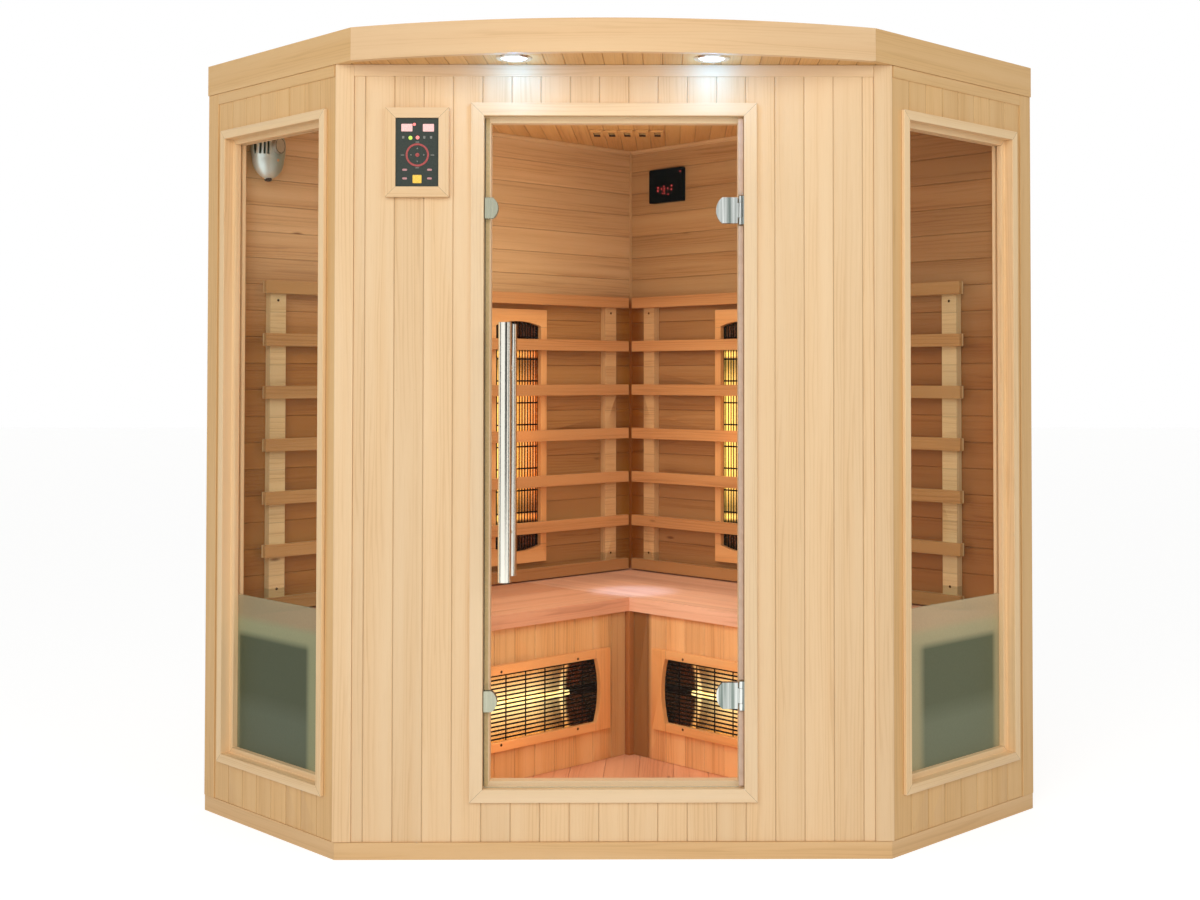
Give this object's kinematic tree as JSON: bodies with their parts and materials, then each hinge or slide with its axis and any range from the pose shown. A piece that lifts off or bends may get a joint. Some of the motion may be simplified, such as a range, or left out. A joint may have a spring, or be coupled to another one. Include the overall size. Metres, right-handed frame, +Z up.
{
  "type": "corner infrared sauna cabin",
  "caption": "Corner infrared sauna cabin in pale timber with a glass door, side windows, a corner bench with slatted backrests and quartz heaters behind wire grilles.",
  "frame": {"origin": "on the floor, under the middle of the box around the cabin", "axes": "+Z up, the door faces -Y, +X to the right of someone who faces the door"},
  "size_m": [2.1214, 1.6236, 1.9],
  "materials": {
    "exterior_wood": "sanded pale hemlock",
    "interior_wood": "sanded warm hemlock",
    "door_glass": "clear toughened",
    "window_glass": "clear, frosted below",
    "grille_wire": "black enamel",
    "reflector": "polished",
    "quartz_tube": "glowing quartz",
    "handle_steel": "brushed",
    "chrome": "polished",
    "dark_panel": "gloss",
    "silver_plastic": "silver paint",
    "lamp_bowl": "opal"
  },
  "bodies": {
    "cabin": {"plinth": "exterior_wood", "front_wall": "exterior_wood", "door_casing": "exterior_wood", "left_front_post": "exterior_wood", "right_front_post": "exterior_wood", "left_window_wall": "exterior_wood", "right_window_wall": "exterior_wood", "left_window_frame": "exterior_wood", "right_window_frame": "exterior_wood", "left_corner_post": "exterior_wood", "right_corner_post": "exterior_wood", "roof_front_fascia": "exterior_wood", "roof_rim": "exterior_wood", "roof_cover": "exterior_wood", "control_frame": "exterior_wood", "floor_panel": "interior_wood", "back_left_wall": "interior_wood", "back_right_wall": "interior_wood", "ceiling_panel": "interior_wood", "ceiling_vent": "interior_wood", "left_seat": "interior_wood", "right_seat": "interior_wood", "left_bench_front": "interior_wood", "right_bench_front": "interior_wood", "bench_corner_strip": "interior_wood", "left_backrest": "interior_wood", "right_backrest": "interior_wood", "left_back_heater_frame": "interior_wood", "right_back_heater_frame": "interior_wood", "left_calf_heater_frame": "interior_wood", "right_calf_heater_frame": "interior_wood", "left_back_heater_grille": "grille_wire", "right_back_heater_grille": "grille_wire", "left_calf_heater_grille": "grille_wire", "right_calf_heater_grille": "grille_wire", "left_back_heater_reflector": "reflector", "right_back_heater_reflector": "reflector", "left_calf_heater_reflector": "reflector", "right_calf_heater_reflector": "reflector", "left_back_heater_tube": "quartz_tube", "right_back_heater_tube": "quartz_tube", "left_calf_heater_tube": "quartz_tube", "right_calf_heater_tube": "quartz_tube", "left_window_glass": "window_glass", "right_window_glass": "window_glass", "upper_hinge_leaf": "chrome", "lower_hinge_leaf": "chrome", "left_spotlight": "chrome", "right_spotlight": "chrome", "control_panel": "dark_panel", "media_panel": "dark_panel", "ionizer_body": "silver_plastic", "ceiling_lamp": "lamp_bowl"},
    "door": {"door_glass": "door_glass", "upper_hinge_clamp": "chrome", "lower_hinge_clamp": "chrome", "upper_catch_plate": "chrome", "lower_catch_plate": "chrome", "door_handle": "handle_steel"},
    "ionizer_button": {"ionizer_button": "silver_plastic"}
  },
  "joints": [
    {"name": "door_swing", "type": "hinge", "parent": "cabin", "child": "door", "pos_m": [0.2925, -0.6628, 0.929], "axis": [0, 0, 1], "range_deg": [0, 110]},
    {"name": "ionizer_press", "type": "slide", "parent": "cabin", "child": "ionizer_button", "axis": [-0.9272, 0.3746, 0], "range_m": [0, 0.002], "stiffness_N_per_m": 300}
  ]
}
